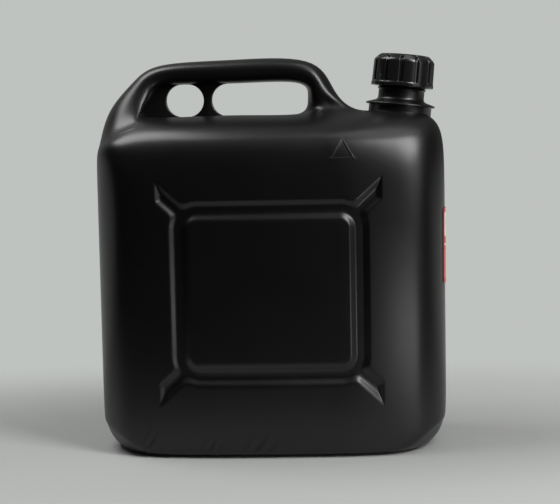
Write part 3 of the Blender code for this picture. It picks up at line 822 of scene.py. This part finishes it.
def web():
    """The pinched plate with its round hole. It reaches a little way into the tank, the handle and its left
    leg.
    """
    left, low, high = OPEN_LEFT - WEB_SIDE_ROOT, TANK_TOP - WEB_ROOT, CEILING + WEB_ROOT
    hole = OPEN_LEFT + WEB_MARGIN
    grip = hole + SMALL_HOLE + HOLE_GAP
    right = grip + END_R
    plate = block("web", (right - left, WEB, high - low), ((left + right) / 2, 0, (low + high) / 2))
    for start, end in ((hole, hole + SMALL_HOLE), (grip, OPEN_RIGHT + END_R)):
        combine(plate, "DIFFERENCE", stadium(start, end))
    edge = plate.modifiers.new("edge", "BEVEL")
    edge.width = WEB_ROUND
    edge.segments = 3
    edge.limit_method = "ANGLE"
    apply_modifiers(plate)
    return plate


def stadium(left, right):
    """A rod across the handle, round at both ends."""
    turn = (math.pi / 2, 0, 0)
    bpy.ops.mesh.primitive_circle_add(vertices=64, radius=END_R, fill_type="NGON", rotation=turn)
    rod = bpy.context.object
    pick(rod)
    bpy.ops.object.transform_apply(rotation=True)
    co = points_of(rod)
    co[:, 0] += np.where(co[:, 0] > 0, right - END_R, left + END_R)
    co[:, 1] = -BAR_WIDTH
    co[:, 2] += HOLE_Z
    move_points(rod, co)
    bpy.ops.object.mode_set(mode="EDIT")
    bpy.ops.mesh.select_all(action="SELECT")
    bpy.ops.mesh.extrude_region_move(TRANSFORM_OT_translate={"value": (0, 2 * BAR_WIDTH, 0)})
    bpy.ops.mesh.select_all(action="SELECT")
    bpy.ops.mesh.normals_make_consistent(inside=False)
    bpy.ops.object.mode_set(mode="OBJECT")
    return rod


def block(name, size, middle):
    bpy.ops.mesh.primitive_cube_add(size=1, location=middle)
    made = bpy.context.object
    made.name = name
    made.scale = size
    pick(made)
    bpy.ops.object.transform_apply(location=True, scale=True)
    return made


def base_hollow():
    """The raised middle of the base, with drafted sides and cut corners."""
    below = 0.001
    size = (WIDTH - 2 * BASE_RIM, DEPTH - 2 * BASE_RIM, BASE_RAISE + below)
    hollow = block("base_hollow", size, (0, 0, (BASE_RAISE - below) / 2))
    co = points_of(hollow)
    co[:, :2] *= np.where(co[:, 2:] > 0, 1 - 2 * BASE_RAISE / DEPTH, 1)
    move_points(hollow, co)
    corners = hollow.modifiers.new("corners", "BEVEL")
    corners.width = BASE_CORNER
    corners.segments = 6
    corners.limit_method = "ANGLE"
    corners.angle_limit = math.radians(80)
    corners.affect = "EDGES"
    return hollow


def can_body():
    body = smooth_can("can", 3)
    refine(body)
    mould(body)
    combine(body, "DIFFERENCE", block("ground", (WIDTH, DEPTH, 0.02), (0, 0, -0.01)))
    combine(body, "DIFFERENCE", base_hollow())
    combine(body, "UNION", web())
    combine(body, "UNION", neck())
    cavity = smooth_can("cavity", 2, WALL, BASE_RAISE + WALL)
    flatten_inside(cavity)
    combine(body, "DIFFERENCE", cavity)
    combine(body, "DIFFERENCE", bore())
    shade(body, 38)
    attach(body, "can")
    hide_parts("can_body")
    return body


# Cap and seal


def groove_share(angle):
    """How much of a groove's depth is cut at an angle: 1 in its middle, 0 on the lobes."""
    pitch = 2 * math.pi / LOBES
    off = np.abs((angle + math.pi / 2 + LOBE_TURN + pitch / 2) % pitch - pitch / 2)
    return 1 - smooth_step(GROOVE_HALF * 0.35, GROOVE_HALF, off)


def cap_profile():
    """The cap's outline, from the middle of its top round to the roof inside."""
    top, shoulder_r = CAP_HEIGHT, CAP_TOP_R + CAP_DRAFT
    return [
        (0, top - CAP_DISH, 0),
        (CAP_DISH_R, top - CAP_DISH, 0.0005),
        (CAP_DISH_R + 0.0008, top, 0.0005),
        (CAP_TOP_R - CAP_CHAMFER, top - 0.0002, 0.0015),
        (CAP_TOP_R, top - CAP_CHAMFER, 0.0018),
        (shoulder_r, CAP_RING + 0.0010, 0.0005),
        (CAP_FOOT_R, CAP_RING + 0.0003, 0.0004),
        (CAP_FOOT_R, 0, 0.0005),
        (CAP_BORE_R + 0.0010, 0, 0.0003),
        (CAP_BORE_R, 0.0014, 0.0003),
        (CAP_BORE_R, top - CAP_ROOF, 0.0004),
        (0, top - CAP_ROOF, 0),
    ]


def cut_grooves(cap):
    """Draws the skin in between the lobes."""
    co = points_of(cap)
    x, y, z = co.T
    radius = np.hypot(x, y)
    outside = (radius > CAP_BORE_R + 0.0012) | (z > CAP_HEIGHT - CAP_ROOF + 0.0004)
    lower = smooth_step(*GROOVE_LOW, z)
    inner = smooth_step(*GROOVE_TOP, radius)
    depth = GROOVE * groove_share(np.arctan2(y, x)) * lower * inner * outside
    co[:, :2] *= (1 - depth / np.maximum(radius, SAME_PLACE))[:, None]
    move_points(cap, co)


def screw_cap():
    cap = spun("cap", finer(rounded(cap_profile(), 5), CAP_STEP), LOBES * LOBE_STEPS)
    cut_grooves(cap)
    start = THREAD_START - CAP_BOTTOM - PITCH / 2
    combine(cap, "UNION", thread("cap_thread", CAP_BORE_R + RIDGE_SEAT, start, CAP_TURNS))
    settle(cap, neck_place() @ Matrix.Translation((0, 0, CAP_BOTTOM)))
    shade(cap, 40)
    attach(cap, "cap")
    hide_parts("screw_cap")
    return cap


def finer(outline, step):
    """The outline with its long stretches cut up."""
    out = [outline[0]]
    for a, b in zip(outline, outline[1:]):
        a, b = Vector(a), Vector(b)
        parts = max(1, math.ceil((b - a).length / step))
        out += [tuple(a.lerp(b, (i + 1) / parts)) for i in range(parts)]
    return out


def cap_seal():
    profile = [
        (SEAL_BORE_R, 0),
        (SEAL_R - 0.0004, 0),
        (SEAL_R, 0.0004),
        (SEAL_R, SEAL - 0.0004),
        (SEAL_R - 0.0004, SEAL),
        (SEAL_BORE_R, SEAL),
    ]
    seal = spun("seal", profile, 96, closed=True)
    settle(seal, neck_place() @ Matrix.Translation((0, 0, RIM + GAP)))
    shade(seal, 50)
    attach(seal, "seal")
    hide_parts("cap_seal")
    return seal


# Label


def side_label(body):
    """A thin sheet with rounded corners, laid on the right side."""
    bpy.ops.mesh.primitive_plane_add(size=1)
    label = bpy.context.object
    label.name = "label"
    pick(label)
    label.scale = (LABEL_WIDTH, LABEL_HEIGHT, 1)
    bpy.ops.object.transform_apply(scale=True)
    bpy.ops.object.mode_set(mode="EDIT")
    bpy.ops.mesh.select_all(action="SELECT")
    bpy.ops.mesh.bevel(offset=LABEL_CORNER, segments=8, affect="VERTICES")
    for i in range(1, LABEL_STRIPS):
        x = LABEL_WIDTH * (i / LABEL_STRIPS - 0.5)
        bpy.ops.mesh.select_all(action="SELECT")
        bpy.ops.mesh.bisect(plane_co=(x, 0, 0), plane_no=(1, 0, 0))
    bpy.ops.object.mode_set(mode="OBJECT")
    upright = Matrix(((0, 0, 1), (1, 0, 0), (0, 1, 0))).to_4x4()
    middle = (HALF_W + LABEL_START, 0, LABEL_LOW + LABEL_HEIGHT / 2)
    settle(label, Matrix.Translation(middle) @ upright)
    lay = label.modifiers.new("lay", "SHRINKWRAP")
    lay.target = body
    lay.wrap_method = "PROJECT"
    lay.use_project_x = True
    lay.use_negative_direction = True
    lay.use_positive_direction = False
    lay.offset = LABEL_LIFT
    sheet = label.modifiers.new("sheet", "SOLIDIFY")
    sheet.thickness = LABEL_SHEET
    sheet.offset = 1
    apply_modifiers(label)
    shade(label, 40)
    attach(label, "can")
    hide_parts("side_label")
    return label


# Finishes


NUMBER = "NodeSocketFloat"


def sockets(tree, side, named):
    for name, kind, value in named:
        socket = tree.interface.new_socket(name, in_out=side, socket_type=kind)
        if value is not None:
            socket.default_value = value


def effect(name, inputs, outputs):
    """An empty node group with its two ends."""
    tree = bpy.data.node_groups.new(name, "ShaderNodeTree")
    sockets(tree, "INPUT", inputs)
    sockets(tree, "OUTPUT", outputs)
    return tree, tree.nodes.new("NodeGroupInput"), tree.nodes.new("NodeGroupOutput")


def node(tree, kind, links=(), **settings):
    """A node with its settings, and its inputs set or linked by name or number."""
    made = tree.nodes.new(kind)
    for name, value in settings.items():
        setattr(made, name, value)
    for key, value in dict(links).items():
        if isinstance(value, bpy.types.NodeSocket):
            tree.links.new(value, made.inputs[key])
        else:
            made.inputs[key].default_value = value
    return made


def sums(tree, operation, a, b=0.0, clamp=False):
    return node(tree, "ShaderNodeMath", {0: a, 1: b}, operation=operation, use_clamp=clamp).outputs[0]


def times(tree, a, b, clamp=False):
    return sums(tree, "MULTIPLY", a, b, clamp=clamp)


def place(tree):
    """The place on the object as separate x, y and z."""
    where = node(tree, "ShaderNodeTexCoord").outputs["Object"]
    return where, node(tree, "ShaderNodeSeparateXYZ", {0: where}).outputs


def ridge(tree, distance, half):
    """1 on a line, falling to 0 at half its width."""
    away = sums(tree, "DIVIDE", sums(tree, "ABSOLUTE", distance), half)
    return sums(tree, "SUBTRACT", 1.0, sums(tree, "MINIMUM", away, 1.0))


def skin_effect():
    """Grain and slow waves of a blow-moulded skin."""
    tree, start, end = effect(
        "moulded skin",
        [("Grain", NUMBER, 8e-6), ("Peel", NUMBER, 1e-5), ("Waves", NUMBER, 6e-5)],
        [("Height", NUMBER, None), ("Cloud", NUMBER, None)],
    )
    where, _ = place(tree)
    height = None
    for name, scale, detail in (("Grain", 1700, 2), ("Peel", 260, 2), ("Waves", 22, 1)):
        noise = node(tree, "ShaderNodeTexNoise", {"Vector": where, "Scale": scale, "Detail": detail})
        part = times(tree, noise.outputs["Fac"], start.outputs[name])
        height = part if height is None else sums(tree, "ADD", height, part)
    cloud = node(tree, "ShaderNodeTexNoise", {"Vector": where, "Scale": 34, "Detail": 5, "Roughness": 0.6})
    tree.links.new(height, end.inputs["Height"])
    tree.links.new(cloud.outputs["Fac"], end.inputs["Cloud"])
    return tree


def scratch_effect():
    """Short fine scratches in two directions."""
    tree, start, end = effect(
        "scratches",
        [("Density", NUMBER, 0.5)],
        [("Mask", NUMBER, None)],
    )
    where, _ = place(tree)
    total = None
    for turn, stretch in ((0.4, (900, 60, 24)), (-0.9, (700, 80, 30))):
        links = {"Vector": where, "Rotation": (0, turn, 0.3), "Scale": stretch}
        turned = node(tree, "ShaderNodeMapping", links)
        noise = node(tree, "ShaderNodeTexNoise", {"Vector": turned.outputs[0], "Scale": 1, "Detail": 3})
        level = sums(tree, "SUBTRACT", 0.78, times(tree, start.outputs["Density"], 0.1))
        line = times(tree, sums(tree, "SUBTRACT", noise.outputs["Fac"], level), 12, clamp=True)
        total = line if total is None else sums(tree, "MAXIMUM", total, line)
    tree.links.new(total, end.inputs["Mask"])
    return tree


def mould_line_effect():
    """The can's parting line, the insert line on the handle's leg and the arc round the neck."""
    tree, start, end = effect(
        "mould lines",
        [("Raise", NUMBER, 1e-4)],
        [("Height", NUMBER, None)],
    )
    where, (x, y, z) = place(tree)
    parting = ridge(tree, y, LINE_HALF)
    share_x, share_z, offset = LEG_LINE
    slope = sums(tree, "ADD", times(tree, x, share_x), times(tree, z, share_z))
    leg = ridge(tree, sums(tree, "ADD", slope, offset), LINE_HALF)
    leg = times(tree, leg, sums(tree, "LESS_THAN", x, LEG_LINE_RIGHT))
    leg = times(tree, leg, sums(tree, "GREATER_THAN", z, LEG_LINE_LOW))
    away = node(tree, "ShaderNodeVectorMath", {0: where, 1: neck_place().translation}, operation="SUBTRACT")
    axis = neck_place().to_3x3() @ Vector((0, 0, 1))
    along = node(tree, "ShaderNodeVectorMath", {0: away.outputs[0], 1: axis}, operation="DOT_PRODUCT")
    length = node(tree, "ShaderNodeVectorMath", {0: away.outputs[0]}, operation="LENGTH")
    whole = sums(tree, "POWER", length.outputs["Value"], 2.0)
    part = sums(tree, "POWER", along.outputs["Value"], 2.0)
    radius = sums(tree, "SQRT", sums(tree, "SUBTRACT", whole, part))
    arc = ridge(tree, sums(tree, "SUBTRACT", radius, NECK_LINE_R), LINE_HALF)
    arc = times(tree, arc, sums(tree, "LESS_THAN", along.outputs["Value"], NECK_LINE_ALONG))
    arc = times(tree, arc, sums(tree, "GREATER_THAN", z, NECK_LINE_LOW))
    lines = sums(tree, "MAXIMUM", parting, sums(tree, "MAXIMUM", leg, arc))
    tree.links.new(times(tree, lines, start.outputs["Raise"]), end.inputs["Height"])
    return tree


def finish_of(name, colour, roughness, **fixed):
    """A material with its plain values set, and its shader."""
    made = bpy.data.materials.new(name)
    made.use_nodes = True
    shader = made.node_tree.nodes["Principled BSDF"]
    shader.inputs["Base Color"].default_value = (*colour, 1)
    shader.inputs["Roughness"].default_value = roughness
    for key, value in fixed.items():
        shader.inputs[key.replace("_", " ")].default_value = value
    return made, made.node_tree, shader


def spread(tree, share, low, high):
    return node(tree, "ShaderNodeMapRange", {"Value": share, "To Min": low, "To Max": high}).outputs[0]


def use(tree, group, **values):
    made = node(tree, "ShaderNodeGroup", node_tree=group)
    for name, value in values.items():
        made.inputs[name].default_value = value
    return made


def blend(tree, share, under, over):
    """A mix of two colours."""
    return node(tree, "ShaderNodeMix", {0: share, 6: under, 7: over}, data_type="RGBA").outputs[2]


def bump(tree, shader, height):
    made = node(tree, "ShaderNodeBump", {"Height": height, "Strength": 1.0, "Distance": 1.0})
    tree.links.new(made.outputs[0], shader.inputs["Normal"])


def can_material(groups):
    made, tree, shader = finish_of("can plastic", CAN_BLACK, CAN_ROUGH[0], IOR=1.50)
    surface = use(tree, groups["skin"], Grain=9e-6, Peel=8e-6, Waves=1.2e-4)
    marks = use(tree, groups["scratches"], Density=0.45)
    moulded = use(tree, groups["lines"], Raise=1.3e-4)
    rough = spread(tree, surface.outputs["Cloud"], *CAN_ROUGH)
    rough = sums(tree, "ADD", rough, times(tree, marks.outputs["Mask"], 0.08), clamp=True)
    tree.links.new(rough, shader.inputs["Roughness"])
    colour = blend(tree, marks.outputs["Mask"], (*CAN_BLACK, 1), (*CAN_SCRATCHED, 1))
    tree.links.new(colour, shader.inputs["Base Color"])
    bump(tree, shader, sums(tree, "ADD", surface.outputs["Height"], moulded.outputs["Height"]))
    return made


def cap_material(groups):
    made, tree, shader = finish_of("cap plastic", CAP_BLACK, CAP_ROUGH[0], IOR=1.50)
    surface = use(tree, groups["skin"], Grain=2e-6, Peel=5e-6, Waves=2e-5)
    marks = use(tree, groups["scratches"], Density=0.8)
    rough = spread(tree, surface.outputs["Cloud"], *CAP_ROUGH)
    rough = sums(tree, "ADD", rough, times(tree, marks.outputs["Mask"], 0.15), clamp=True)
    tree.links.new(rough, shader.inputs["Roughness"])
    bump(tree, shader, surface.outputs["Height"])
    return made


def seal_material(groups):
    made, tree, shader = finish_of("seal rubber", (0.05, 0.05, 0.05), 0.65)
    surface = use(tree, groups["skin"], Grain=1.2e-5, Peel=1e-5, Waves=0.0)
    tree.links.new(spread(tree, surface.outputs["Cloud"], 0.58, 0.75), shader.inputs["Roughness"])
    bump(tree, shader, surface.outputs["Height"])
    return made


def band(tree, value, low, high, soft=0.0003):
    """1 between two heights."""
    parts = []
    for start, end in ((low - soft, low + soft), (high + soft, high - soft)):
        links = {"Value": value, "From Min": start, "From Max": end}
        parts.append(node(tree, "ShaderNodeMapRange", links).outputs[0])
    return times(tree, *parts)


def label_material(groups):
    """Printed red stock with a white block, a thin rule and a paler block."""
    made, tree, shader = finish_of("label print", LABEL_RED, 0.38)
    _, (_, y, z) = place(tree)
    side = LABEL_WIDTH / 2 - LABEL_EDGE
    colour = (*LABEL_RED, 1)
    for ink, low, high in LABEL_PRINT:
        mask = times(tree, band(tree, y, -side, side), band(tree, z, low, high))
        colour = blend(tree, mask, colour, (*ink, 1))
    tree.links.new(colour, shader.inputs["Base Color"])
    surface = use(tree, groups["skin"], Grain=4e-6, Peel=0.0, Waves=3e-5)
    tree.links.new(spread(tree, surface.outputs["Cloud"], 0.32, 0.46), shader.inputs["Roughness"])
    bump(tree, shader, surface.outputs["Height"])
    return made


def paint(obj, material):
    obj.data.materials.clear()
    obj.data.materials.append(material)


# Studio


def smooth_range(tree, value, low, high, start=0.0, end=1.0):
    links = {"Value": value, "From Min": low, "From Max": high, "To Min": start, "To Max": end}
    return node(tree, "ShaderNodeMapRange", links, interpolation_type="SMOOTHSTEP").outputs[0]


def background_rays(tree, y):
    """1 for rays that see the backdrop: the camera's, and mirrored or bent ones behind the can."""
    path = node(tree, "ShaderNodeLightPath").outputs
    bent = sums(tree, "ADD", path["Is Glossy Ray"], path["Is Transmission Ray"], clamp=True)
    links = {"Value": y, "From Min": BEHIND[0], "From Max": BEHIND[1]}
    behind = node(tree, "ShaderNodeMapRange", links).outputs[0]
    return sums(tree, "ADD", path["Is Camera Ray"], times(tree, bent, behind), clamp=True)


def floor():
    """Pale round the can. Further off it is the backdrop to the camera, and dark to everything else."""
    bpy.ops.mesh.primitive_plane_add(size=FLOOR_SIZE)
    ground = bpy.context.object
    ground.name = "floor"
    made, tree, shader = finish_of("pale floor", FLOOR_PALE, 0.75)
    where, (_, y, _) = place(tree)
    stretched = node(tree, "ShaderNodeVectorMath", {0: where, 1: (FLOOR_STRETCH, 1, 1)}, operation="MULTIPLY")
    away = node(tree, "ShaderNodeVectorMath", {0: stretched.outputs[0]}, operation="LENGTH").outputs["Value"]
    far = smooth_range(tree, away, FLOOR_CLEAR, FLOOR_FADE)
    plain = node(tree, "ShaderNodeEmission", {"Color": (*BACKDROP, 1), "Strength": 1.0})
    unseen = sums(tree, "SUBTRACT", 1.0, background_rays(tree, y))
    dark = node(tree, "ShaderNodeBsdfDiffuse", {"Color": (*FLOOR_DARK, 1)})
    beyond = node(tree, "ShaderNodeMixShader", {0: unseen, 1: plain.outputs[0], 2: dark.outputs[0]})
    mixed = node(tree, "ShaderNodeMixShader", {0: far, 1: shader.outputs[0], 2: beyond.outputs[0]})
    tree.links.new(mixed.outputs[0], tree.nodes["Material Output"].inputs["Surface"])
    paint(ground, made)


def lamp(name, turn, rise, distance, size, power):
    light = bpy.data.lights.new(name, "AREA")
    light.shape = "RECTANGLE"
    light.size, light.size_y = size
    light.energy = power
    obj = bpy.data.objects.new(name, light)
    bpy.context.collection.objects.link(obj)
    turn, rise = math.radians(turn), math.radians(rise)
    away = Vector((math.sin(turn) * math.cos(rise), -math.cos(turn) * math.cos(rise), math.sin(rise)))
    obj.location = AIM + away * distance
    obj.rotation_euler = (-away).to_track_quat("-Z", "Y").to_euler()


def world():
    """Pale behind and above the can, dark in front of it, and plain pale to the camera."""
    made = bpy.data.worlds.new("studio")
    bpy.context.scene.world = made
    made.use_nodes = True
    tree = made.node_tree
    tree.nodes.clear()
    out = node(tree, "ShaderNodeOutputWorld")
    direction = node(tree, "ShaderNodeTexCoord").outputs["Generated"]
    x, y, z = node(tree, "ShaderNodeSeparateXYZ", {0: direction}).outputs
    behind = smooth_range(tree, y, *ROOM_BACK_RUN, ROOM_FRONT, ROOM_BACK)
    behind = times(tree, behind, smooth_range(tree, x, *ROOM_RIGHT_RUN, 1.0, ROOM_RIGHT))
    above = smooth_range(tree, z, *ROOM_TOP_RUN, 0.0, ROOM_TOP)
    level = sums(tree, "MAXIMUM", behind, above)
    room = node(tree, "ShaderNodeBackground", {"Color": (*ROOM, 1), "Strength": level})
    plain = node(tree, "ShaderNodeBackground", {"Color": (*BACKDROP, 1), "Strength": 1.0})
    seen = node(tree, "ShaderNodeLightPath").outputs["Is Camera Ray"]
    mixed = node(tree, "ShaderNodeMixShader", {0: seen, 1: room.outputs[0], 2: plain.outputs[0]})
    tree.links.new(mixed.outputs[0], out.inputs["Surface"])


def camera():
    """The photograph's view: from the front, a little from the right and above."""
    data = bpy.data.cameras.new("camera")
    data.sensor_width = CAMERA_SENSOR
    data.lens = CAMERA_LENS
    obj = bpy.data.objects.new("camera", data)
    bpy.context.collection.objects.link(obj)
    flat = math.cos(CAMERA_PITCH)
    ahead = Vector((-math.sin(CAMERA_YAW) * flat, math.cos(CAMERA_YAW) * flat, -math.sin(CAMERA_PITCH)))
    right = ahead.cross(Vector((0, 0, 1))).normalized()
    up = right.cross(ahead)
    x = right * math.cos(CAMERA_ROLL) - up * math.sin(CAMERA_ROLL)
    y = right * math.sin(CAMERA_ROLL) + up * math.cos(CAMERA_ROLL)
    obj.matrix_world = Matrix.Translation(CAMERA_AT) @ Matrix((x, y, -ahead)).transposed().to_4x4()
    bpy.context.scene.camera = obj


def studio():
    floor()
    for values in LAMPS:
        lamp(*values)
    world()
    camera()
    bpy.context.scene.view_settings.view_transform = "Standard"


def main():
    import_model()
    groups = {"skin": skin_effect(), "scratches": scratch_effect(), "lines": mould_line_effect()}
    body = can_body()
    paint(body, can_material(groups))
    paint(screw_cap(), cap_material(groups))
    paint(cap_seal(), seal_material(groups))
    paint(side_label(body), label_material(groups))
    studio()


main()
